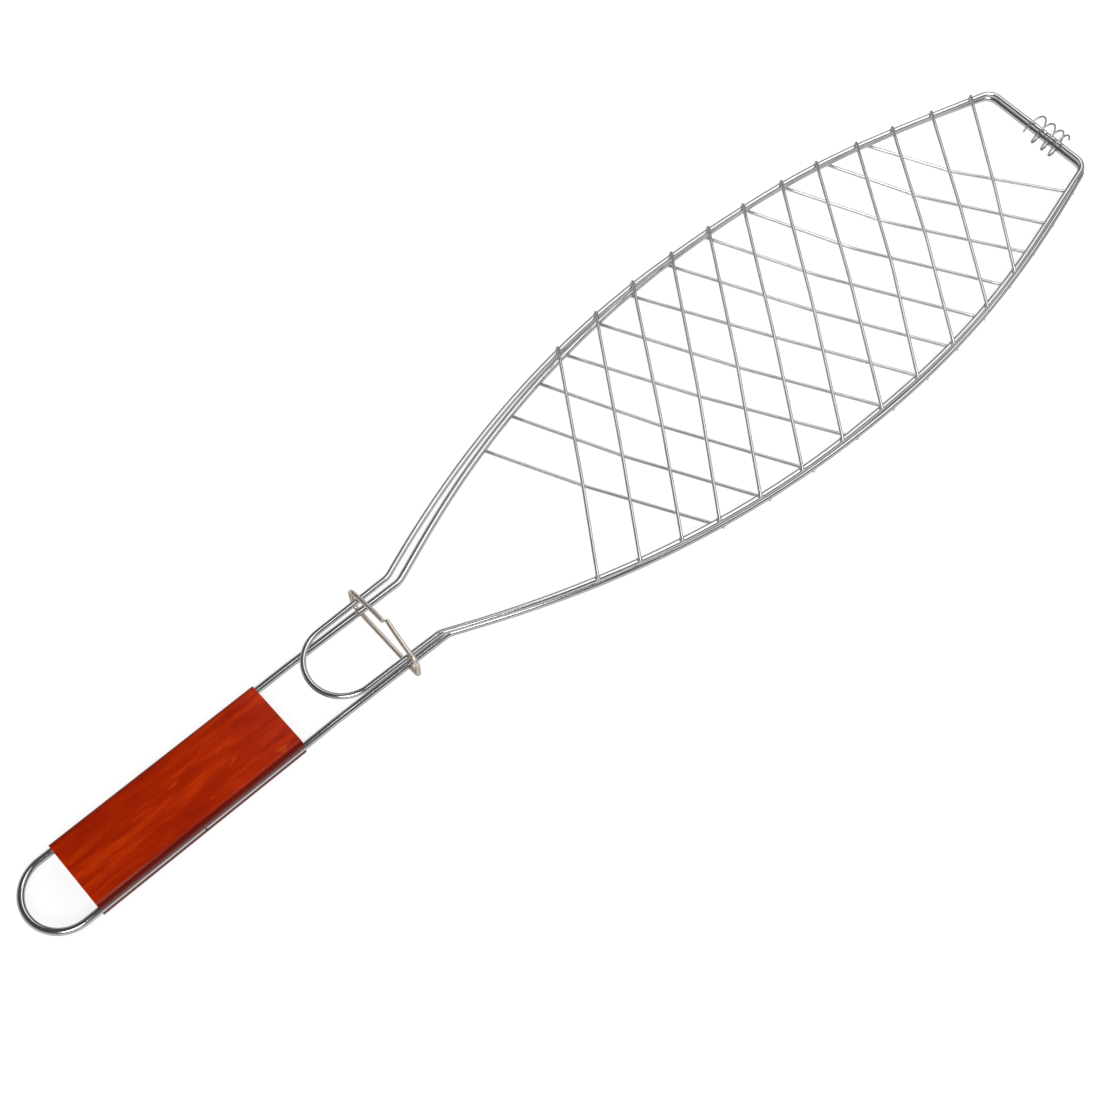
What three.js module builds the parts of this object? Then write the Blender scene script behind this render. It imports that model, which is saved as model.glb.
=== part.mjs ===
// A hinged wire basket for grilling one whole fish, with a wooden grip and a sliding lock ring.
// Millimetres, +Z up. X runs from the hanging loop to the hinge, and Y runs across the basket.
// Inside the group, X starts at the tip of the hanging loop and Z at the axis of the lower frame's wire.
import * as THREE from 'three';

// Wire diameters, and the gap that pieces which touch keep.
const LOWER_WIRE = 3.0;
const UPPER_WIRE = 2.5;
const CROSS_WIRE = 1.5;
const RING_WIRE = 2.0;
const COIL_WIRE = 0.9;
const GAP = 0.3;

// Where things lie along the basket, from the tip of the hanging loop.
const BAR_X = 569.3;
const RING_X = 174;
const RAIL_HALF = 15.7;

// Half outlines of the two frames: the neck bend, the widest place and the corner at the hinge bar.
// A slope is across per along, and a pull is the length of a curve handle.
const LOWER_OUTLINE = {
  neck: { x: 194, y: RAIL_HALF, slope: 0.39, pull: 23 },
  crown: { x: 398, y: 60.1, pullBack: 113, pullOn: 61 },
  corner: { y: 29.4, slope: -0.33, pull: 60 },
};
const UPPER_OUTLINE = {
  neck: { x: 189.5, y: 16.6, slope: 0.44, pull: 57 },
  crown: { x: 383, y: 59.2, pullBack: 71, pullOn: 91 },
  corner: { y: 29.1, slope: -0.27, pull: 68 },
};
const NECK_BEND = 9;
const CORNER_BEND = 6.5;
const SHORT_LOOP_X = 137.4;
const SHORT_LOOP_HALF = 16;
const LOOP_CUT_X = 166;

// The rails are bent a little in plan at the handle, which turns by this angle about its own place.
const HANDLE_TURN = 0.0111;
const HANDLE_TURN_X = 108;
const HANDLE_BEND_X = 135;

// The upper frame lies on the lower one from the hinge to LIFT_X, then springs away to the neck.
const UPPER_REST_Z = (LOWER_WIRE + UPPER_WIRE) / 2 + GAP;
const NECK_LIFT = 5.85;
const LIFT_X = 433;

// Cross wires are laid and bent by hand, so no two are quite alike. Each has the place where it
// crosses the middle line, X gained per mm of Y, and how far its one shallow bend stands out.
// Towards the bend, each half is straight for BEND_FROM of its length. The bend's tip is eased back
// by BEND_EASE of its depth.
const LOWER_GRID = {
  places: [284, 306.5, 329, 351.5, 374.5, 397, 420.5, 443.5, 467.5, 490.5, 512.5, 535],
  slants: [-0.54, -0.53, -0.53, -0.57, -0.56, -0.57, -0.55, -0.54, -0.54, -0.57, -0.56, -0.62],
  bends: [2.7, 2.8, 2.6, 2.0, 2.0, 0.4, 2.0, 3.3, 4.6, 4.6, 4.4, 3.9],
  bendLines: { rear: 0, front: 13, from: 7 },
  overhang: 1.4,
};
const UPPER_GRID = {
  places: [280, 302.5, 325, 347, 370, 393, 417, 440, 464, 487, 511, 534],
  slants: [0.66, 0.67, 0.67, 0.7, 0.7, 0.68, 0.68, 0.66, 0.68, 0.67, 0.68, 0.74],
  bends: [5.0, 3.4, 5.4, 5.2, 5.0, 3.0, 3.3, 3.1, 5.0, 3.3, 1.5, 1.2],
  bendLines: { rear: -4, front: -12, from: 8 },
  overhang: 1.0,
};
const BEND_FROM = 0.86;
const BEND_EASE = 0.04;

// The lock ring: a bent link round all four rails, its butt joint in the middle of the top.
const RING_HALF = 21.2;
const RING_CORNER = 3.2;
const RING_JOINT_SHIFT = 0.7;
const RING_ARCH = { y: 9, rise: 1.8, topRise: 2.6, lean: 1.2 };

// The hinge coil round both end bars.
const COIL = { x: 570.4, z: 0.8, radius: 6.2, from: 3.6, pitches: [5.9, 5.7, 4.6, 2.4] };

// The grip.
const GRIP_START = 22;
const GRIP_END = 120;
const GRIP_HALF = 16.8;
const GRIP_THICK = 12;
const GRIP_ROUND = 2.9;

// How finely each curve is faceted, and how often a wire's end is moved nearer to its frame.
const TUBE_SIDES = 8;
const ARC_STEPS = 5;
const CURVE_STEPS = 13;
const LOOP_STEPS = 14;
const COIL_STEPS = 16;
const GRIP_STEPS = 6;
const MEET_ROUNDS = 40;

const steel = () => new THREE.MeshStandardMaterial({ color: 0xc9cac8, roughness: 0.25, metalness: 1 });
const satinSteel = () => new THREE.MeshStandardMaterial({ color: 0xb9bab6, roughness: 0.4, metalness: 1 });
const ringSteel = () => new THREE.MeshStandardMaterial({ color: 0xcfc3b8, roughness: 0.35, metalness: 1 });
const stainedWood = () => new THREE.MeshStandardMaterial({ color: 0xa82c08, roughness: 0.45, metalness: 0 });

// A wire's centre line through chosen stations, which keep their own spacing.
class WireLine extends THREE.Curve {
  constructor(stations) {
    super();
    this.stations = stations;
  }

  place(t) {
    const last = this.stations.length - 1;
    const along = Math.min(Math.max(t, 0), 1) * last;
    const index = Math.min(Math.floor(along + 1e-9), last - 1);
    return { index, part: along - index };
  }

  getPoint(t, target = new THREE.Vector3()) {
    const { index, part } = this.place(t);
    return target.lerpVectors(this.stations[index], this.stations[index + 1], part);
  }

  // At a station the tangent halves the angle between the two stretches that meet there.
  getTangent(t, target = new THREE.Vector3()) {
    const { index, part } = this.place(t);
    const stretch = (i) => {
      const start = Math.min(Math.max(i, 0), this.stations.length - 2);
      return new THREE.Vector3().subVectors(this.stations[start + 1], this.stations[start]).normalize();
    };
    target.copy(stretch(index));
    if (part < 1e-6) target.add(stretch(index - 1));
    if (part > 1 - 1e-6) target.add(stretch(index + 1));
    return target.normalize();
  }

  getUtoTmapping(u) {
    return u;
  }
}

function wireGeometry(stations, diameter) {
  const section = new THREE.Shape();
  for (let i = 0; i < TUBE_SIDES; i += 1) {
    const turn = (2 * Math.PI * (i + 0.5)) / TUBE_SIDES;
    const x = (diameter / 2) * Math.cos(turn);
    const y = (diameter / 2) * Math.sin(turn);
    if (i === 0) section.moveTo(x, y);
    else section.lineTo(x, y);
  }
  section.closePath();
  const extrudePath = new WireLine(stations);
  return new THREE.ExtrudeGeometry(section, { steps: stations.length - 1, extrudePath });
}

function piece(name, geometry, material) {
  const mesh = new THREE.Mesh(geometry, material);
  mesh.name = name;
  return mesh;
}

// The arc that rounds the corner of a wire bent from one straight to the next, in plan.
function filletPoints(before, corner, after, radius) {
  const inward = new THREE.Vector2().subVectors(before, corner).normalize();
  const onward = new THREE.Vector2().subVectors(after, corner).normalize();
  const half = Math.acos(THREE.MathUtils.clamp(inward.dot(onward), -1, 1)) / 2;
  const centre = new THREE.Vector2().addVectors(inward, onward).normalize();
  centre.multiplyScalar(radius / Math.sin(half)).add(corner);
  const start = inward.clone().multiplyScalar(radius / Math.tan(half)).add(corner).sub(centre);
  const end = onward.clone().multiplyScalar(radius / Math.tan(half)).add(corner).sub(centre);
  const sweep = Math.atan2(start.cross(end), start.dot(end));
  const points = [];
  for (let i = 0; i <= ARC_STEPS; i += 1) {
    const origin = new THREE.Vector2();
    points.push(start.clone().rotateAround(origin, (sweep * i) / ARC_STEPS).add(centre));
  }
  return points;
}

// One side of a frame from just past its neck bend to the corner at the hinge bar, as half widths.
function outlineCurves(outline) {
  const { neck, crown, corner } = outline;
  const rear = new THREE.CubicBezierCurve(
    new THREE.Vector2(neck.x, neck.y),
    new THREE.Vector2(neck.x + neck.pull, neck.y + neck.slope * neck.pull),
    new THREE.Vector2(crown.x - crown.pullBack, crown.y),
    new THREE.Vector2(crown.x, crown.y),
  );
  const front = new THREE.CubicBezierCurve(
    new THREE.Vector2(crown.x, crown.y),
    new THREE.Vector2(crown.x + crown.pullOn, crown.y),
    new THREE.Vector2(BAR_X - corner.pull, corner.y - corner.slope * corner.pull),
    new THREE.Vector2(BAR_X, corner.y),
  );
  return [rear, front];
}

function sidePoints(outline) {
  const [rear, front] = outlineCurves(outline);
  const rearPoints = rear.getSpacedPoints(CURVE_STEPS);
  const frontPoints = front.getSpacedPoints(CURVE_STEPS);
  const railEnd = new THREE.Vector2(outline.neck.x - 2 * NECK_BEND, outline.neck.y);
  const neckArc = filletPoints(railEnd, rearPoints[0], rearPoints[1], NECK_BEND);
  const beforeCorner = frontPoints[CURVE_STEPS - 1];
  const barMiddle = new THREE.Vector2(BAR_X, 0);
  const cornerArc = filletPoints(beforeCorner, frontPoints[CURVE_STEPS], barMiddle, CORNER_BEND);
  return [...neckArc, ...rearPoints.slice(1), ...frontPoints.slice(1, CURVE_STEPS), ...cornerArc];
}

// The half width of a frame at a place along it.
function halfWidth(outline, x) {
  const points = sidePoints(outline);
  const next = points.findIndex((point) => point.x >= x);
  const a = points[next - 1];
  const b = points[next];
  return a.y + ((b.y - a.y) * (x - a.x)) / (b.x - a.x);
}

function upperFrameZ(x) {
  const share = (LIFT_X - x) / (LIFT_X - UPPER_OUTLINE.neck.x);
  return UPPER_REST_Z + NECK_LIFT * THREE.MathUtils.clamp(share, 0, 1);
}

// Half a turn of wire round the tip of a loop, from +Y round to -Y.
function loopPoints(tipX, half) {
  const points = [];
  for (let i = 0; i <= LOOP_STEPS; i += 1) {
    const turn = (Math.PI * i) / LOOP_STEPS;
    points.push(new THREE.Vector2(tipX + half * (1 - Math.sin(turn)), half * Math.cos(turn)));
  }
  return points;
}

const mirrored = (points) => points.map((point) => new THREE.Vector2(point.x, -point.y)).reverse();

// The lower frame is one wire: its two ends butt in the groove of the grip.
function lowerFrame() {
  const buttX = (GRIP_START + GRIP_END) / 2;
  const side = sidePoints(LOWER_OUTLINE);
  const pivot = new THREE.Vector2(HANDLE_TURN_X, 0);
  const turned = (point) => point.rotateAround(pivot, HANDLE_TURN);
  const route = [
    turned(new THREE.Vector2(buttX - GAP / 2, -RAIL_HALF)),
    ...loopPoints(0, RAIL_HALF).reverse().map(turned),
    turned(new THREE.Vector2(HANDLE_BEND_X, RAIL_HALF)),
    ...side,
    ...mirrored(side),
    turned(new THREE.Vector2(HANDLE_BEND_X, -RAIL_HALF)),
    turned(new THREE.Vector2(buttX + GAP / 2, -RAIL_HALF)),
  ];
  const stations = route.map((point) => new THREE.Vector3(point.x, point.y, 0));
  return piece('lower_frame', wireGeometry(stations, LOWER_WIRE), steel());
}

// The upper frame is one wire too, drawn as two pieces: its outline and its short loop. They part
// by a small gap on the two straight rails.
function upperFrame() {
  const side = sidePoints(UPPER_OUTLINE);
  const lift = new THREE.Vector2(LIFT_X, halfWidth(UPPER_OUTLINE, LIFT_X));
  const withLift = [...side, lift].sort((a, b) => a.x - b.x || b.y - a.y);
  const corner = side.slice(-ARC_STEPS - 1);
  const run = [...withLift.filter((point) => !corner.includes(point)), ...corner];
  const loop = loopPoints(SHORT_LOOP_X, SHORT_LOOP_HALF);
  const railPoint = (x) => loop[0].clone().lerp(run[0], (x - loop[0].x) / (run[0].x - loop[0].x));
  const half = [railPoint(LOOP_CUT_X + GAP / 2), ...run];
  const cut = railPoint(LOOP_CUT_X - GAP / 2);
  const routes = {
    upper_frame: [...half, ...mirrored(half)],
    upper_loop: [cut, ...loop, ...mirrored([cut])],
  };
  return Object.entries(routes).map(([name, route]) => {
    const stations = route.map((point) => new THREE.Vector3(point.x, point.y, upperFrameZ(point.x)));
    return piece(name, wireGeometry(stations, UPPER_WIRE), steel());
  });
}

// Where a slanted cross wire meets one side of its frame.
function crossEnd(outline, middleX, slant, side) {
  let y = 0;
  for (let i = 0; i < MEET_ROUNDS; i += 1) {
    const target = side * halfWidth(outline, middleX + slant * y);
    y += (target - y) / 2;
  }
  return y;
}

// A cross wire lies under the lower frame or on the upper one, and bends away from the fish.
function crossWire(name, grid, outline, index, heightAt, away) {
  const middleX = grid.places[index];
  const slant = grid.slants[index];
  const { rear, front, from } = grid.bendLines;
  const bendY = index < from ? rear : front;
  const ends = [1, -1].map((side) => crossEnd(outline, middleX, slant, side) + side * grid.overhang);
  const point = (y, z) => new THREE.Vector3(middleX + slant * y, y, z);
  const endZ = ends.map((y) => heightAt(middleX + slant * y));
  const share = (ends[0] - bendY) / (ends[0] - ends[1]);
  const bendZ = THREE.MathUtils.lerp(endZ[0], endZ[1], share) + away * grid.bends[index];
  const apex = point(bendY, bendZ);
  const shoulder = (end, z) => point(end, z).lerp(apex, BEND_FROM);
  const stations = [
    point(ends[0], endZ[0]),
    shoulder(ends[0], endZ[0]),
    apex.clone().setZ(bendZ - away * grid.bends[index] * BEND_EASE),
    shoulder(ends[1], endZ[1]),
    point(ends[1], endZ[1]),
  ];
  return piece(name, wireGeometry(stations, CROSS_WIRE), satinSteel());
}

function crossWires() {
  const wires = [];
  const lowerZ = -(LOWER_WIRE + CROSS_WIRE) / 2 - GAP;
  const aboveUpper = (UPPER_WIRE + CROSS_WIRE) / 2 + GAP;
  for (let i = 0; i < LOWER_GRID.bends.length; i += 1) {
    const number = String(i + 1).padStart(2, '0');
    const upperZ = (x) => upperFrameZ(x) + aboveUpper;
    wires.push(crossWire(`lower_cross_wire_${number}`, LOWER_GRID, LOWER_OUTLINE, i, () => lowerZ, -1));
    wires.push(crossWire(`upper_cross_wire_${number}`, UPPER_GRID, UPPER_OUTLINE, i, upperZ, 1));
  }
  return wires;
}

// The ring's two legs stand outside the rails, and its cut ends meet a little out of line.
function lockRing() {
  const bottom = -(LOWER_WIRE + RING_WIRE) / 2 - GAP;
  const top = upperFrameZ(RING_X) + (UPPER_WIRE + RING_WIRE) / 2 + GAP;
  const corners = [
    { y: RING_HALF, z: top, from: Math.PI / 2 },
    { y: RING_HALF, z: bottom, from: 0 },
    { y: -RING_HALF, z: bottom, from: -Math.PI / 2 },
    { y: -RING_HALF, z: top, from: -Math.PI },
  ];
  const topMiddle = [1, -1].map((side) => [
    new THREE.Vector3(
      RING_X + RING_ARCH.lean - side * RING_JOINT_SHIFT,
      (side * GAP) / 2,
      top + RING_ARCH.topRise,
    ),
    new THREE.Vector3(RING_X + RING_ARCH.lean / 2, side * RING_ARCH.y, top + RING_ARCH.rise),
  ]);
  const stations = [...topMiddle[0]];
  for (const corner of corners) {
    const centreY = corner.y - Math.sign(corner.y) * RING_CORNER;
    const centreZ = corner.z === top ? top - RING_CORNER : bottom + RING_CORNER;
    for (let i = 0; i <= ARC_STEPS; i += 1) {
      const turn = corner.from - (Math.PI / 2) * (i / ARC_STEPS);
      const y = centreY + RING_CORNER * Math.cos(turn);
      const z = centreZ + RING_CORNER * Math.sin(turn);
      stations.push(new THREE.Vector3(RING_X, y, z));
    }
  }
  stations.push(...topMiddle[1].reverse());
  return piece('lock_ring', wireGeometry(stations, RING_WIRE), ringSteel());
}

// An open coil of thin wire whose turns are unevenly spread along the two bars.
function hingeCoil() {
  const stations = [];
  let y = COIL.from;
  let turn = -Math.PI / 2;
  COIL.pitches.forEach((pitch, row) => {
    const steps = row === COIL.pitches.length - 1 ? COIL_STEPS / 2 : COIL_STEPS;
    for (let i = row === 0 ? 0 : 1; i <= steps; i += 1) {
      const angle = turn + (2 * Math.PI * i) / COIL_STEPS;
      const x = COIL.x + COIL.radius * Math.sin(angle);
      const z = COIL.z + COIL.radius * Math.cos(angle);
      stations.push(new THREE.Vector3(x, y - (pitch * i) / COIL_STEPS, z));
    }
    y -= pitch;
    turn += 2 * Math.PI;
  });
  return piece('hinge_coil', wireGeometry(stations, COIL_WIRE), satinSteel());
}

// One wooden block: rounded long edges, and a round-bottomed groove along each side for a rail.
function woodGrip() {
  const half = GRIP_THICK / 2;
  const groove = LOWER_WIRE / 2 + GAP;
  const section = new THREE.Shape();
  const flat = GRIP_HALF - GRIP_ROUND;
  const flatZ = half - GRIP_ROUND;
  section.moveTo(-flat, -half);
  section.lineTo(flat, -half);
  section.absarc(flat, -flatZ, GRIP_ROUND, -Math.PI / 2, 0, false);
  section.lineTo(GRIP_HALF, -groove);
  section.absarc(RAIL_HALF, 0, groove, -Math.PI / 2, Math.PI / 2, true);
  section.lineTo(GRIP_HALF, groove);
  section.absarc(flat, flatZ, GRIP_ROUND, 0, Math.PI / 2, false);
  section.lineTo(-flat, half);
  section.absarc(-flat, flatZ, GRIP_ROUND, Math.PI / 2, Math.PI, false);
  section.lineTo(-GRIP_HALF, groove);
  section.absarc(-RAIL_HALF, 0, groove, Math.PI / 2, -Math.PI / 2, true);
  section.lineTo(-GRIP_HALF, -groove);
  section.absarc(-flat, -flatZ, GRIP_ROUND, Math.PI, 1.5 * Math.PI, false);
  const settings = { depth: GRIP_END - GRIP_START, bevelEnabled: false, curveSegments: GRIP_STEPS };
  const geometry = new THREE.ExtrudeGeometry(section, settings);
  const mesh = piece('wood_grip', geometry, stainedWood());
  // The section is drawn in X and Y and pushed along Z: turned so that those become Y, Z and X.
  const axes = new THREE.Matrix4().makeBasis(
    new THREE.Vector3(0, 1, 0),
    new THREE.Vector3(0, 0, 1),
    new THREE.Vector3(1, 0, 0),
  );
  mesh.quaternion.setFromRotationMatrix(axes);
  mesh.position.x = GRIP_START - HANDLE_TURN_X;
  const handle = new THREE.Group();
  handle.position.x = HANDLE_TURN_X;
  handle.rotation.z = HANDLE_TURN;
  handle.add(mesh);
  return handle;
}

// The origin is under the middle of the whole length, on the surface that the lowest wires rest on.
const basket = new THREE.Group();
basket.add(lowerFrame(), ...upperFrame(), lockRing(), hingeCoil(), woodGrip(), ...crossWires());
const outerBox = new THREE.Box3().setFromObject(basket);
basket.position.set(-(outerBox.min.x + outerBox.max.x) / 2, 0, -outerBox.min.z);

const part = new THREE.Group();
part.add(basket);

export default part;
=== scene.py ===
import math

import bmesh
import bpy
from mathutils import Matrix, Vector
from mathutils.geometry import interpolate_bezier


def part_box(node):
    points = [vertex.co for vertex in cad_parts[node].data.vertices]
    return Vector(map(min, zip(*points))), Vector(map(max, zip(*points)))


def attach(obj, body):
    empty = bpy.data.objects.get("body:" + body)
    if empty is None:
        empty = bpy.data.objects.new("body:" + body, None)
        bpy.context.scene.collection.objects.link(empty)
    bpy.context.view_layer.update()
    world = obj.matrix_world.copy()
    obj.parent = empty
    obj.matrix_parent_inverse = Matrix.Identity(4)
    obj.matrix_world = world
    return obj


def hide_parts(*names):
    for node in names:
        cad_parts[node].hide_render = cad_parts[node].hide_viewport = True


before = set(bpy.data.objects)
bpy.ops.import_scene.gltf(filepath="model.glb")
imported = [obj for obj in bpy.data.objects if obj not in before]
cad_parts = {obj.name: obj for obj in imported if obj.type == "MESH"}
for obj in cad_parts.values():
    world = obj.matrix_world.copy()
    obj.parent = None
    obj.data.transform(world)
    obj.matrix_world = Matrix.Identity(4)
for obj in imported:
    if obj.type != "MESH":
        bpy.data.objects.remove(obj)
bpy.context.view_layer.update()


# ---- Base frame -----------------------------------------------------------------------------
# One length of bright-plated 3 mm steel wire. It is bent in a jig into the hanging loop, the two
# handle rails, the neck bends and the outline of the basket, and its ends meet in the grip's groove.

BASE_WIRE = 0.0030
RAIL_HALF = 0.0157
BUTT_GAP = 0.0003
HINGE_BAR = 0.5693
HANDLE_TURN = 0.0111
HANDLE_TURN_PLACE = 0.108
HANDLE_BEND = 0.135
WIRE_SIDES = 20
CUT_EDGE = 0.14
NECK_RADIUS = 0.0090
CORNER_RADIUS = 0.0065
RAIL_BEFORE_NECK = 0.04
CLEAR_OF_BEND = 0.001
BEND_STEPS = 10
OUTLINE_STEPS = 44
LOOP_STEPS = 48

frame_low, frame_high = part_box("lower_frame")
BASE_AXIS = (frame_low.z + frame_high.z) / 2
LOOP_TIP = frame_high.x - (frame_high.z - frame_low.z) / 2 - HINGE_BAR


def at(along, across, up):
    """A place given from the hanging loop's tip, the middle line and the base wire's axis."""
    return Vector((LOOP_TIP + along, across, BASE_AXIS + up))


def placed(name, data):
    """An object at the origin that holds a mesh, a lamp or a camera."""
    made = bpy.data.objects.new(name, data)
    bpy.context.scene.collection.objects.link(made)
    return made


def piece_from(name, shape):
    """A piece made of a finished shape, which is used up."""
    mesh = bpy.data.meshes.new(name)
    shape.to_mesh(mesh)
    shape.free()
    return placed(name, mesh)


def drawn_wire(name, stations, diameter, sides=WIRE_SIDES):
    """One round wire: a ring is pushed from station to station, turned into each bend, and capped."""
    runs = [(b - a).normalized() for a, b in zip(stations, stations[1:])]
    headings = [runs[0]]
    headings += [(a + b).normalized() for a, b in zip(runs, runs[1:])]
    headings.append(runs[-1])
    wire = bmesh.new()
    facing = Vector((0, 0, 1)).rotation_difference(headings[0]).to_matrix().to_4x4()
    start = Matrix.Translation(stations[0]) @ facing
    bmesh.ops.create_circle(wire, segments=sides, radius=diameter / 2, matrix=start)
    front = wire.edges[:]
    for before, here, old, new in zip(stations, stations[1:], headings, headings[1:]):
        pushed = bmesh.ops.extrude_edge_only(wire, edges=front)["geom"]
        front = [part for part in pushed if isinstance(part, bmesh.types.BMEdge)]
        corners = [part for part in pushed if isinstance(part, bmesh.types.BMVert)]
        bmesh.ops.translate(wire, verts=corners, vec=here - before)
        turn = old.rotation_difference(new).to_matrix()
        bmesh.ops.rotate(wire, verts=corners, cent=here, matrix=turn)
    open_rims = [edge for edge in wire.edges if edge.is_boundary]
    bmesh.ops.holes_fill(wire, edges=open_rims)
    ends = [face for face in wire.faces if len(face.verts) == sides]
    rims = list({edge for face in ends for edge in face.edges})
    bmesh.ops.bevel(wire, geom=rims, offset=diameter * CUT_EDGE, segments=2, profile=0.5,
                    affect="EDGES", material=-1)
    bmesh.ops.recalc_face_normals(wire, faces=wire.faces)
    for face in wire.faces:
        face.smooth = True
    return piece_from(name, wire)


def bend(before, corner, after, radius):
    """The round of a bend between two straights, in plan."""
    back = (before - corner).normalized()
    on = (after - corner).normalized()
    half = back.angle(on) / 2
    centre = corner + (back + on).normalized() * radius / math.sin(half)
    start = corner + back * radius / math.tan(half) - centre
    end = corner + on * radius / math.tan(half) - centre
    sweep = start.rotation_difference(end)
    return [centre + Matrix.Rotation(sweep.angle * i / BEND_STEPS, 3, sweep.axis) @ start
            for i in range(BEND_STEPS + 1)]


def half_outline(neck, crown, corner):
    """One side of a frame, neck bend to hinge bar: two long curves that meet at the widest place."""
    rail = Vector((neck["x"] - RAIL_BEFORE_NECK, neck["y"], 0))
    knee = Vector((neck["x"], neck["y"], 0))
    leave = knee + Vector((1, neck["slope"], 0)) * neck["pull"]
    widest = Vector((crown["x"], crown["y"], 0))
    elbow = Vector((HINGE_BAR, corner["y"], 0))
    arrive = elbow - Vector((1, corner["slope"], 0)) * corner["pull"]
    before_crown = widest - Vector((crown["back"], 0, 0))
    after_crown = widest + Vector((crown["on"], 0, 0))
    rear = interpolate_bezier(knee, leave, before_crown, widest, OUTLINE_STEPS)
    front = interpolate_bezier(widest, after_crown, arrive, elbow, OUTLINE_STEPS)
    neck_bend = bend(rail, knee, rear[2], NECK_RADIUS)
    corner_bend = bend(front[-3], elbow, Vector((HINGE_BAR, 0, 0)), CORNER_RADIUS)
    rear = [p for p in rear if p.x > neck_bend[-1].x + CLEAR_OF_BEND]
    front = [p for p in front[1:] if p.x < corner_bend[0].x - CLEAR_OF_BEND]
    return neck_bend + rear + front + corner_bend


def loop(tip, half):
    """Half a turn of wire round the tip of a loop, from the +Y side to the -Y side."""
    turns = [math.pi * i / LOOP_STEPS for i in range(LOOP_STEPS + 1)]
    return [Vector((tip + half * (1 - math.sin(t)), half * math.cos(t), 0)) for t in turns]


def other_side(points):
    """The same run of wire on the -Y side, in the opposite order."""
    return [Vector((p.x, -p.y, p.z)) for p in reversed(points)]


def straight(start, end, steps):
    """Stations evenly spread along a straight, without its two ends."""
    return [start.lerp(end, i / steps) for i in range(1, steps)]


def on_handle(along, across):
    """A place on the handle, which stands a little askew to the basket."""
    pivot = Vector((HANDLE_TURN_PLACE, 0, 0))
    return pivot + Matrix.Rotation(HANDLE_TURN, 3, "Z") @ (Vector((along, across, 0)) - pivot)


base_side = half_outline(
    neck={"x": 0.194, "y": RAIL_HALF, "slope": 0.39, "pull": 0.023},
    crown={"x": 0.398, "y": 0.0601, "back": 0.113, "on": 0.061},
    corner={"y": 0.0294, "slope": -0.33, "pull": 0.060},
)
GRIP_START = 0.022
GRIP_END = 0.120
butt_along = (GRIP_START + GRIP_END) / 2
base_route = [
    on_handle(butt_along - BUTT_GAP / 2, -RAIL_HALF),
    *[on_handle(p.x, p.y) for p in reversed(loop(0, RAIL_HALF))],
    on_handle(HANDLE_BEND, RAIL_HALF),
    *base_side,
    *other_side(base_side),
    on_handle(HANDLE_BEND, -RAIL_HALF),
    on_handle(butt_along + BUTT_GAP / 2, -RAIL_HALF),
]
base_frame = drawn_wire("base_frame_wire", [at(p.x, p.y, 0) for p in base_route], BASE_WIRE)


class Varying:
    """A number or colour that varies over a surface. Python's operators add its Math nodes."""

    def __init__(self, finish, output):
        self.finish = finish
        self.output = output

    def joined(self, operation, first, second):
        settings = {"operation": operation}
        return self.finish.add("ShaderNodeMath", settings, {0: first, 1: second})

    def __add__(self, other):
        return self.joined("ADD", self, other)

    def __radd__(self, other):
        return self.joined("ADD", other, self)

    def __sub__(self, other):
        return self.joined("SUBTRACT", self, other)

    def __rsub__(self, other):
        return self.joined("SUBTRACT", other, self)

    def __mul__(self, other):
        return self.joined("MULTIPLY", self, other)


class Finish:
    """A procedural material: add makes any node, and the shader's own sockets are filled by name."""

    def __init__(self, name, **constants):
        self.material = bpy.data.materials.new(name)
        self.material.use_nodes = True
        self.nodes = self.material.node_tree.nodes
        self.shader = self.nodes["Principled BSDF"]
        self.place = self.add("ShaderNodeTexCoord", output="Object")
        for socket, value in constants.items():
            self.feed(self.shader.inputs[socket.replace("_", " ")], value)

    def feed(self, socket, value):
        if isinstance(value, Varying):
            self.material.node_tree.links.new(value.output, socket)
        else:
            socket.default_value = value

    def add(self, kind, settings=None, inputs=None, output=0):
        made = self.nodes.new(kind)
        for key, value in (settings or {}).items():
            if key == "stops":
                self.lay_stops(made.color_ramp, value)
            else:
                setattr(made, key, value)
        for key, value in (inputs or {}).items():
            self.feed(made.inputs[key], value)
        return Varying(self, made.outputs[output])

    def lay_stops(self, ramp, stops):
        while len(ramp.elements) < len(stops):
            ramp.elements.new(1.0)
        for element, (position, colour) in zip(ramp.elements, stops):
            element.position = position
            element.color = colour

    def stretched(self, scale):
        """Object coordinates, stretched by a scale along each axis."""
        return self.add("ShaderNodeMapping", None, {"Vector": self.place, "Scale": scale})

    def noise(self, vector, scale, detail=2.0, roughness=0.5):
        inputs = {"Vector": vector, "Scale": scale, "Detail": detail, "Roughness": roughness}
        return self.add("ShaderNodeTexNoise", None, inputs)

    def ramp(self, value, *stops):
        return self.add("ShaderNodeValToRGB", {"stops": stops}, {"Fac": value})

    def mix(self, factor, first, second):
        inputs = {0: factor, 6: first, 7: second}
        return self.add("ShaderNodeMix", {"data_type": "RGBA"}, inputs, output=2)

    def surface(self, **sockets):
        for socket, value in sockets.items():
            self.feed(self.shader.inputs[socket.replace("_", " ")], value)

    def bump(self, height, distance):
        inputs = {"Height": height, "Distance": distance}
        self.surface(Normal=self.add("ShaderNodeBump", None, inputs))


NONE = (0, 0, 0, 1)
FULL = (1, 1, 1, 1)


def plated_steel(name, bright, dull, smooth, rough, edge=0.1):
    """Plating over drawn wire, with faint duller patches. It mirrors less towards its edges."""
    finish = Finish(name, Metallic=1.0, Specular_Tint=(edge, edge, edge, 1))
    patches = finish.noise(finish.place, 140.0, detail=4.0)
    specks = finish.noise(finish.place, 2600.0, detail=2.0)
    worn = finish.ramp(patches, (0.44, NONE), (0.66, FULL))
    finish.surface(
        Base_Color=finish.mix(worn, bright, dull),
        Roughness=smooth + worn * rough + specks * 0.03,
    )
    return finish.material


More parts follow.
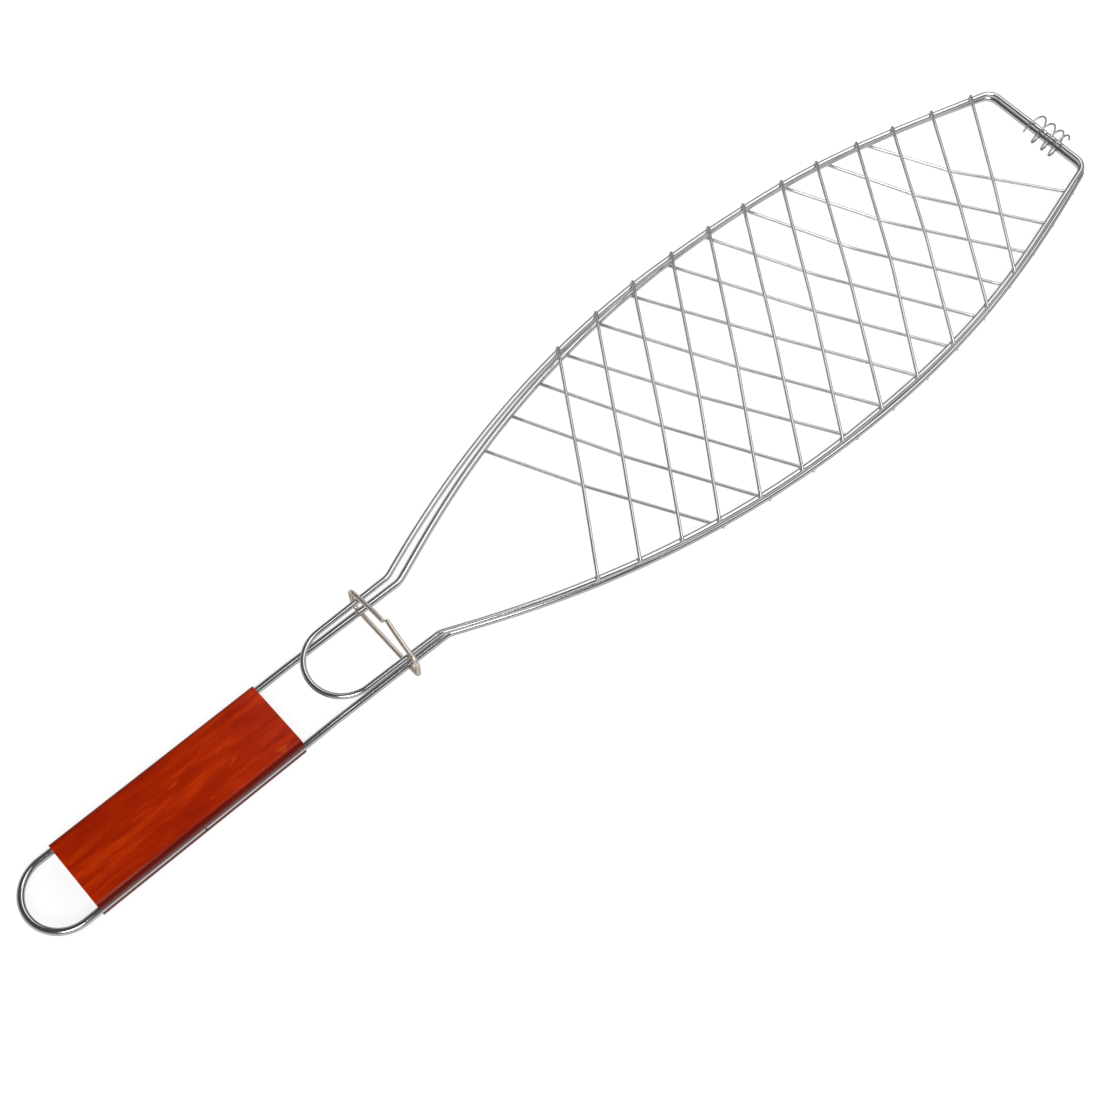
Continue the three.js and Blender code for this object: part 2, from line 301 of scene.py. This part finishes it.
FRAME_BRIGHT = (0.50, 0.50, 0.495, 1)
FRAME_DULL = (0.46, 0.46, 0.45, 1)
bright_plating = plated_steel("bright_plated_wire", FRAME_BRIGHT, FRAME_DULL, 0.12, 0.05)
base_frame.data.materials.append(bright_plating)
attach(base_frame, "base")
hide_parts("lower_frame")


# ---- Lid frame ------------------------------------------------------------------------------
# The same kind of wire, 2.5 mm thick. It rests on the base frame near the hinge bar and rises
# steadily from there to the neck. Its rear is the short loop that a finger lifts, and its ends
# meet on the hinge bar inside the coil.

LID_WIRE = 0.0025
LID_REST = 0.00305
NECK_LIFT = 0.00585
LIFT_FROM = 0.433
LID_NECK = 0.1895
SHORT_LOOP_TIP = 0.1374
SHORT_LOOP_HALF = 0.016
LID_BUTT = -0.0055

lid_side = half_outline(
    neck={"x": LID_NECK, "y": 0.0166, "slope": 0.44, "pull": 0.057},
    crown={"x": 0.383, "y": 0.0592, "back": 0.071, "on": 0.091},
    corner={"y": 0.0291, "slope": -0.27, "pull": 0.068},
)


def lid_height(along):
    """How high the lid wire's axis lies over the base wire's."""
    share = (LIFT_FROM - along) / (LIFT_FROM - LID_NECK)
    return LID_REST + NECK_LIFT * min(max(share, 0.0), 1.0)


lid_route = [
    Vector((HINGE_BAR, LID_BUTT + BUTT_GAP / 2, 0)),
    *reversed(lid_side),
    *loop(SHORT_LOOP_TIP, SHORT_LOOP_HALF),
    *reversed(other_side(lid_side)),
    Vector((HINGE_BAR, LID_BUTT - BUTT_GAP / 2, 0)),
]
lid_stations = [at(p.x, p.y, lid_height(p.x)) for p in lid_route]
lid_frame = drawn_wire("lid_frame_wire", lid_stations, LID_WIRE)
lid_frame.data.materials.append(bright_plating)
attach(lid_frame, "lid")
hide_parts("upper_frame", "upper_loop")


# ---- Cross wires ----------------------------------------------------------------------------
# Straight lengths of 1.5 mm wire, each pressed to one shallow bend that makes room for the fish,
# then resistance-welded under the base frame and on the lid frame. They are laid by hand, so their
# spacing and slant vary a little.

CROSS_WIRE = 0.0015
WELD_SINK = 0.00015
CAD_GAP = 0.0003
BEND_FROM = 0.86
BEND_REACH = 0.95
BEND_STATIONS = 17
ARM_STEPS = 6
CROSS_SIDES = 14
SETTLE_ROUNDS = 40

BASE_GRID = {
    "places": [284, 306.5, 329, 351.5, 374.5, 397, 420.5, 443.5, 467.5, 490.5, 512.5, 535],
    "slants": [-0.54, -0.53, -0.53, -0.57, -0.56, -0.57, -0.55, -0.54, -0.54, -0.57, -0.56, -0.62],
    "bends": [2.7, 2.8, 2.6, 2.0, 2.0, 0.4, 2.0, 3.3, 4.6, 4.6, 4.4, 3.9],
    "bend_lines": {"rear": 0.0, "front": 0.013, "from": 7},
    "overhang": 0.0014,
}
LID_GRID = {
    "places": [280, 302.5, 325, 347, 370, 393, 417, 440, 464, 487, 511, 534],
    "slants": [0.66, 0.67, 0.67, 0.70, 0.70, 0.68, 0.68, 0.66, 0.68, 0.67, 0.68, 0.74],
    "bends": [5.0, 3.4, 5.4, 5.2, 5.0, 3.0, 3.3, 3.1, 5.0, 3.3, 1.5, 1.2],
    "bend_lines": {"rear": -0.004, "front": -0.012, "from": 8},
    "overhang": 0.0010,
}


def half_width(side, along):
    """How far a frame wire's axis stands from the middle line, at a place along the basket."""
    for a, b in zip(side, side[1:]):
        if a.x <= along <= b.x:
            return a.y + (b.y - a.y) * (along - a.x) / (b.x - a.x)
    return side[-1].y


def meets_frame(side, middle, slant, hand):
    """Where a slanted cross wire passes over one side of its frame, across the basket."""
    across = 0.0
    for _ in range(SETTLE_ROUNDS):
        across += (hand * half_width(side, middle + slant * across) - across) / 2
    return across


def cross_wire(name, grid, side, index, height, away):
    """One bent cross wire, and the two places where it is welded to its frame."""
    middle = grid["places"][index] / 1000
    slant = grid["slants"][index]
    lines = grid["bend_lines"]
    bend_across = lines["rear"] if index < lines["from"] else lines["front"]
    joints = [meets_frame(side, middle, slant, hand) for hand in (1, -1)]
    tips = [joints[0] + grid["overhang"], joints[1] - grid["overhang"]]

    def place(across, up):
        return at(middle + slant * across, across, up)

    tip_heights = [height(middle + slant * tip) for tip in tips]
    share = (tips[0] - bend_across) / (tips[0] - tips[1])
    resting = tip_heights[0] + (tip_heights[1] - tip_heights[0]) * share
    apex = place(bend_across, resting + away * (grid["bends"][index] / 1000 + CAD_GAP + WELD_SINK))
    ends = [place(tip, up) for tip, up in zip(tips, tip_heights)]
    shoulders = [end.lerp(apex, BEND_FROM) for end in ends]
    handles = [shoulder.lerp(apex, BEND_REACH) for shoulder in shoulders]
    curve = interpolate_bezier(shoulders[0], handles[0], handles[1], shoulders[1], BEND_STATIONS)
    stations = [ends[0], *straight(ends[0], curve[0], ARM_STEPS), *curve,
                *straight(curve[-1], ends[1], ARM_STEPS), ends[1]]
    welds = [place(joint, height(middle + slant * joint)) for joint in joints]
    return drawn_wire(name, stations, CROSS_WIRE, sides=CROSS_SIDES), welds


satin_plating = plated_steel("satin_plated_wire", (0.54, 0.54, 0.53, 1), (0.49, 0.49, 0.48, 1),
                             0.26, 0.06, edge=0.35)
BASE_GRID_HEIGHT = -(BASE_WIRE + CROSS_WIRE) / 2 + WELD_SINK
LID_GRID_ABOVE = (LID_WIRE + CROSS_WIRE) / 2 - WELD_SINK
base_welds = []
lid_welds = []
for index in range(len(BASE_GRID["places"])):
    number = f"{index + 1:02d}"
    wire, welds = cross_wire("base_cross_wire_" + number, BASE_GRID, base_side, index,
                             lambda along: BASE_GRID_HEIGHT, -1)
    wire.data.materials.append(satin_plating)
    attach(wire, "base")
    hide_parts("lower_cross_wire_" + number)
    base_welds += welds
    wire, welds = cross_wire("lid_cross_wire_" + number, LID_GRID, lid_side, index,
                             lambda along: lid_height(along) + LID_GRID_ABOVE, 1)
    wire.data.materials.append(satin_plating)
    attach(wire, "lid")
    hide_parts("upper_cross_wire_" + number)
    lid_welds += welds


# ---- Spot welds -----------------------------------------------------------------------------
# Where a cross wire is pressed hot into its frame wire, a little metal flows out and freezes as a
# low bright pad between the two.

WELD_LENGTH = 0.0013
WELD_HEIGHT = 0.00075


def weld_pads(name, places, offset):
    """A squashed ball at each crossing, on the line where the two wires touch."""
    pads = bmesh.new()
    for spot in places:
        size = Matrix.Diagonal((WELD_LENGTH, WELD_LENGTH, WELD_HEIGHT, 1))
        spot_matrix = Matrix.Translation(spot + Vector((0, 0, offset))) @ size
        bmesh.ops.create_uvsphere(pads, u_segments=14, v_segments=8, radius=1.0, matrix=spot_matrix)
    for face in pads.faces:
        face.smooth = True
    piece = piece_from(name, pads)
    piece.data.materials.append(satin_plating)
    return piece


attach(weld_pads("base_welds", base_welds, CROSS_WIRE / 2), "base")
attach(weld_pads("lid_welds", lid_welds, -CROSS_WIRE / 2), "lid")


# ---- Lock ring ------------------------------------------------------------------------------
# A link bent from 2 mm wire round all four rails. Slid forward it holds the short loop down, and
# slid fully back, clear of the loop, it lets the lid open. Its cut ends meet in the top strand, a
# little out of line.

RING_WIRE = 0.0020
RING_PLACE = 0.174
RING_HALF = 0.0212
RING_CORNER = 0.0032
RING_BOTTOM = -(BASE_WIRE + RING_WIRE) / 2 - CAD_GAP
RING_TOP = LID_REST + NECK_LIFT + (LID_WIRE + RING_WIRE) / 2 + CAD_GAP
RING_JOINT_SHIFT = 0.0007
RING_ARCH = {"across": 0.009, "rise": 0.0018, "top_rise": 0.0026, "lean": 0.0012}
RING_CORNER_STEPS = 12
RING_ARCH_STEPS = 24
RING_EASE = 0.8


def ring_corner(hand, level, first_turn):
    """A quarter turn of the ring's wire, in the plane across the rails."""
    centre_across = hand * (RING_HALF - RING_CORNER)
    centre_up = RING_TOP - RING_CORNER if level == RING_TOP else RING_BOTTOM + RING_CORNER
    turns = [first_turn - math.pi / 2 * i / RING_CORNER_STEPS
             for i in range(RING_CORNER_STEPS + 1)]
    return [at(RING_PLACE, centre_across + RING_CORNER * math.cos(t),
               centre_up + RING_CORNER * math.sin(t)) for t in turns]


def ring_top_half(hand):
    """The top strand from its cut end at the middle out to the corner."""
    end = at(RING_PLACE + RING_ARCH["lean"] - hand * RING_JOINT_SHIFT, hand * BUTT_GAP / 2,
             RING_TOP + RING_ARCH["top_rise"])
    arch = at(RING_PLACE + RING_ARCH["lean"] / 2, hand * RING_ARCH["across"],
              RING_TOP + RING_ARCH["rise"])
    corner = at(RING_PLACE, hand * (RING_HALF - RING_CORNER), RING_TOP)
    rise = interpolate_bezier(end, end.lerp(arch, RING_EASE), corner.lerp(arch, RING_EASE),
                              corner, RING_ARCH_STEPS)
    return rise[:-1]


ring_stations = [
    *ring_top_half(1),
    *ring_corner(1, RING_TOP, math.pi / 2),
    *ring_corner(1, RING_BOTTOM, 0),
    *ring_corner(-1, RING_BOTTOM, -math.pi / 2),
    *ring_corner(-1, RING_TOP, -math.pi),
    *reversed(ring_top_half(-1)),
]
lock_ring = drawn_wire("lock_ring_wire", ring_stations, RING_WIRE)
ring_steel = plated_steel("ring_wire", (0.66, 0.585, 0.51, 1), (0.56, 0.485, 0.415, 1),
                          0.34, 0.08, edge=0.25)
lock_ring.data.materials.append(ring_steel)
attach(lock_ring, "ring")
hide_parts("lock_ring")


# ---- Hinge coil -----------------------------------------------------------------------------
# Three and a half turns of 0.9 mm spring wire wound round both end bars. Its turns are unevenly pulled
# apart, and its ends are simply cut.

COIL_WIRE = 0.0009
COIL_CENTRE = {"along": 0.5704, "up": 0.0008}
COIL_RADIUS = 0.0062
COIL_FROM = 0.0036
COIL_PITCHES = [0.0059, 0.0057, 0.0046, 0.0024]
TURN_STEPS = 44
COIL_SIDES = 12

coil_stations = []
across = COIL_FROM
for row, pitch in enumerate(COIL_PITCHES):
    last = row == len(COIL_PITCHES) - 1
    steps = TURN_STEPS // 2 if last else TURN_STEPS
    for i in range(0 if row == 0 else 1, steps + 1):
        turn = 2 * math.pi * i / TURN_STEPS - math.pi / 2
        coil_stations.append(at(COIL_CENTRE["along"] + COIL_RADIUS * math.sin(turn),
                                across - pitch * i / TURN_STEPS,
                                COIL_CENTRE["up"] + COIL_RADIUS * math.cos(turn)))
    across -= pitch
hinge_coil = drawn_wire("hinge_coil_wire", coil_stations, COIL_WIRE, sides=COIL_SIDES)
coil_steel = plated_steel("spring_wire", (0.38, 0.38, 0.38, 1), (0.33, 0.33, 0.33, 1),
                          0.30, 0.06, edge=0.2)
hinge_coil.data.materials.append(coil_steel)
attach(hinge_coil, "coil")
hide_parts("hinge_coil")


# ---- Grip -----------------------------------------------------------------------------------
# One block of stained and lacquered hardwood with a round-bottomed groove along each side. The
# rails are sprung apart, snapped into the grooves and hold the block by themselves.

GRIP_HALF = 0.0168
GRIP_THICK = 0.0120
GRIP_ROUND = 0.0029
GROOVE = BASE_WIRE / 2 + 0.00005
GROOVE_STEPS = 18
MOUTH_EASE = 0.00012
SAME_PLACE = 0.000002
END_ROUND = 0.0009
GRIP_ROUND_STEPS = 10
MOUTH_STEPS = 2
END_ROUND_STEPS = 3
FACES_ALONG = 0.9


def groove_points(hand):
    """The round groove on one side, from its lower lip round to its upper one."""
    reach = GRIP_HALF - RAIL_HALF
    lip = math.acos(reach / GROOVE)
    sweep = 2 * (math.pi - lip)
    turns = [-lip - sweep * i / GROOVE_STEPS for i in range(GROOVE_STEPS + 1)]
    return [(hand * (RAIL_HALF + GROOVE * math.cos(t)), GROOVE * math.sin(t)) for t in turns]


def grip_section():
    """The block's section across the grain: a face with rounded corners and a groove on each side.

    A groove's mouth is narrower than the wire, so the rail snaps in and only a strip of it shows.
    """
    section = bmesh.new()
    half, thick = GRIP_HALF, GRIP_THICK / 2
    right = groove_points(1)
    left = list(reversed(groove_points(-1)))
    corners = [(-half, -thick), (half, -thick), *right, (half, thick), (-half, thick), *left]
    verts = [section.verts.new(at(GRIP_START, y, z)) for y, z in corners]
    section.faces.new(verts)
    outer = [v for v, (y, z) in zip(verts, corners) if abs(z) == thick]
    mouths = (right[0], right[-1], left[0], left[-1])
    lips = [v for v, corner in zip(verts, corners) if corner in mouths]
    for chosen, radius, segments in ((outer, GRIP_ROUND, GRIP_ROUND_STEPS),
                                     (lips, MOUTH_EASE, MOUTH_STEPS)):
        bmesh.ops.bevel(section, geom=chosen, offset=radius, segments=segments, profile=0.5,
                        affect="VERTICES", material=-1)
    return section


block = grip_section()
pushed = bmesh.ops.extrude_face_region(block, geom=block.faces[:])["geom"]
far = [part for part in pushed if isinstance(part, bmesh.types.BMVert)]
bmesh.ops.translate(block, verts=far, vec=Vector((GRIP_END - GRIP_START, 0, 0)))
bmesh.ops.recalc_face_normals(block, faces=block.faces)
ends = [face for face in block.faces if abs(face.normal.x) > FACES_ALONG]
rims = list({edge for face in ends for edge in face.edges})
bmesh.ops.bevel(block, geom=rims, offset=END_ROUND, segments=END_ROUND_STEPS, profile=0.5,
                affect="EDGES", material=-1, clamp_overlap=True)
bmesh.ops.remove_doubles(block, verts=block.verts[:], dist=SAME_PLACE)
for face in block.faces:
    face.smooth = abs(face.normal.x) < FACES_ALONG
bmesh.ops.rotate(block, verts=block.verts[:], cent=at(HANDLE_TURN_PLACE, 0, 0),
                 matrix=Matrix.Rotation(HANDLE_TURN, 3, "Z"))
grip = piece_from("grip_block", block)

STAIN_DARK = (0.29, 0.011, 0.0003, 1)
STAIN_MIDDLE = (0.40, 0.019, 0.0004, 1)
STAIN_PALE = (0.56, 0.039, 0.0008, 1)
PORE_STAIN = (0.15, 0.0045, 0.0002, 1)
FLECK_STAIN = (0.62, 0.092, 0.003, 1)
# Near-black red painted shade for the block's sides.
SIDE_PAINTED_SHADE = (0.07, 0.0022, 0.0003, 1)
PORE_DEPTH = 0.00006


def stained_hardwood():
    """Orange-red stain with fine pores and paler flecks under lacquer; the sides carry painted shade.
    """
    finish = Finish("stained_hardwood", Coat_Roughness=0.22, Specular_IOR_Level=0.08)
    figure = finish.noise(finish.stretched((1.0, 8.0, 8.0)), 34.0, detail=5.0, roughness=0.6)
    pores = finish.noise(finish.stretched((1.0, 9.0, 9.0)), 190.0, detail=3.0, roughness=0.6)
    flecks = finish.noise(finish.stretched((1.0, 2.6, 2.6)), 75.0, detail=3.0)
    stain = finish.ramp(figure, (0.32, STAIN_DARK), (0.52, STAIN_MIDDLE), (0.70, STAIN_PALE))
    pore = finish.ramp(pores, (0.58, NONE), (0.72, FULL))
    fleck = finish.ramp(flecks, (0.67, NONE), (0.77, FULL))
    coloured = finish.mix(pore * 0.35, stain, PORE_STAIN)
    coloured = finish.mix(fleck * 0.5, coloured, FLECK_STAIN)
    level = finish.add("ShaderNodeSeparateXYZ", None, {0: finish.place}, output=2) - BASE_AXIS
    from_middle = level.joined("ABSOLUTE", level, 0.0) * (2 / GRIP_THICK)
    # Painted shade: all but the top and bottom faces, so the sides and grooves, is darkened towards
    # near black.
    side = finish.ramp(from_middle, (0.90, FULL), (0.992, NONE))
    coloured = finish.mix(side * 0.86, coloured, SIDE_PAINTED_SHADE)
    finish.surface(Base_Color=coloured, Roughness=0.27 + pore * 0.10,
                   Coat_Weight=0.04 - pore * 0.03)
    finish.bump(1.0 - pore * 0.7 - figure * 0.3, PORE_DEPTH)
    return finish.material


grip.data.materials.append(stained_hardwood())
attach(grip, "base")
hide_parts("wood_grip")


# ---- Floor, light and camera ----------------------------------------------------------------
# A plain white table that glows a little so that shadows stay faint, soft light from above, and
# the camera high over the handle's end, on the -Y side.

FLOOR_SIZE = 6.0
floor_sheet = bmesh.new()
bmesh.ops.create_grid(floor_sheet, x_segments=1, y_segments=1, size=FLOOR_SIZE / 2)
floor = piece_from("floor", floor_sheet)
floor_finish = Finish("lit_table", Roughness=0.9, Specular_IOR_Level=0.0, Emission_Strength=0.80,
                      Emission_Color=(1, 1, 1, 1), Base_Color=(0.28, 0.28, 0.28, 1))
floor.data.materials.append(floor_finish.material)


def soft_box(name, place, aim, width, depth, power):
    """A rectangular studio light that faces what it lights."""
    data = bpy.data.lights.new(name, "AREA")
    data.shape = "RECTANGLE"
    data.size = width
    data.size_y = depth
    data.energy = power
    lamp = placed(name, data)
    lamp.location = place
    lamp.rotation_mode = "QUATERNION"
    lamp.rotation_quaternion = (aim - place).to_track_quat("-Z", "Y")
    lamp.visible_camera = False


def distant_lamp(name, comes_from, spread, power):
    """A soft lamp so far away that it shines from one direction, a disc of the given spread wide."""
    data = bpy.data.lights.new(name, "SUN")
    data.energy = power
    data.angle = math.radians(spread)
    lamp = placed(name, data)
    lamp.rotation_mode = "QUATERNION"
    lamp.rotation_quaternion = Vector(comes_from).to_track_quat("Z", "Y")
    lamp.visible_camera = False


soft_box("overhead", at(0.80, 0, 0.60), at(0.80, 0, 0), width=0.84, depth=1.2, power=5.2)
distant_lamp("key", (0.30, -0.16, 0.94), spread=20, power=0.34)
distant_lamp("fill", (-0.30, -0.50, 0.81), spread=30, power=1.55)

# The studio's walls are pale near the floor and its ceiling is dim.
WALL = {"position": 0.24, "color": (0.60, 0.60, 0.60, 1)}
CEILING = {"position": 0.36, "color": (0.10, 0.10, 0.10, 1)}
world = bpy.data.worlds.new("studio")
bpy.context.scene.world = world
world.use_nodes = True
studio = world.node_tree
direction = studio.nodes.new("ShaderNodeTexCoord")
split = studio.nodes.new("ShaderNodeSeparateXYZ")
walls = studio.nodes.new("ShaderNodeValToRGB")
for element, shade in zip(walls.color_ramp.elements, (WALL, CEILING)):
    element.position = shade["position"]
    element.color = shade["color"]
studio.links.new(direction.outputs["Generated"], split.inputs[0])
studio.links.new(split.outputs["Z"], walls.inputs["Fac"])
studio.links.new(walls.outputs["Color"], studio.nodes["Background"].inputs["Color"])

LENS = 59.64
CAMERA_TURN = math.radians(-41.51)
CAMERA_RISE = math.radians(62.57)
CAMERA_DISTANCE = 0.7571
SENSOR = 36.0
NEAREST_SEEN = 0.01
target = at(0.2504, -0.01444, 0)
backwards = Vector((math.sin(CAMERA_TURN) * math.cos(CAMERA_RISE),
                    -math.cos(CAMERA_TURN) * math.cos(CAMERA_RISE),
                    math.sin(CAMERA_RISE)))
lens = bpy.data.cameras.new("camera")
lens.lens = LENS
lens.sensor_width = SENSOR
lens.clip_start = NEAREST_SEEN
camera = placed("camera", lens)
camera.location = target + backwards * CAMERA_DISTANCE
camera.rotation_mode = "QUATERNION"
camera.rotation_quaternion = (-backwards).to_track_quat("-Z", "Y")
bpy.context.scene.camera = camera
bpy.context.scene.view_settings.view_transform = "Standard"
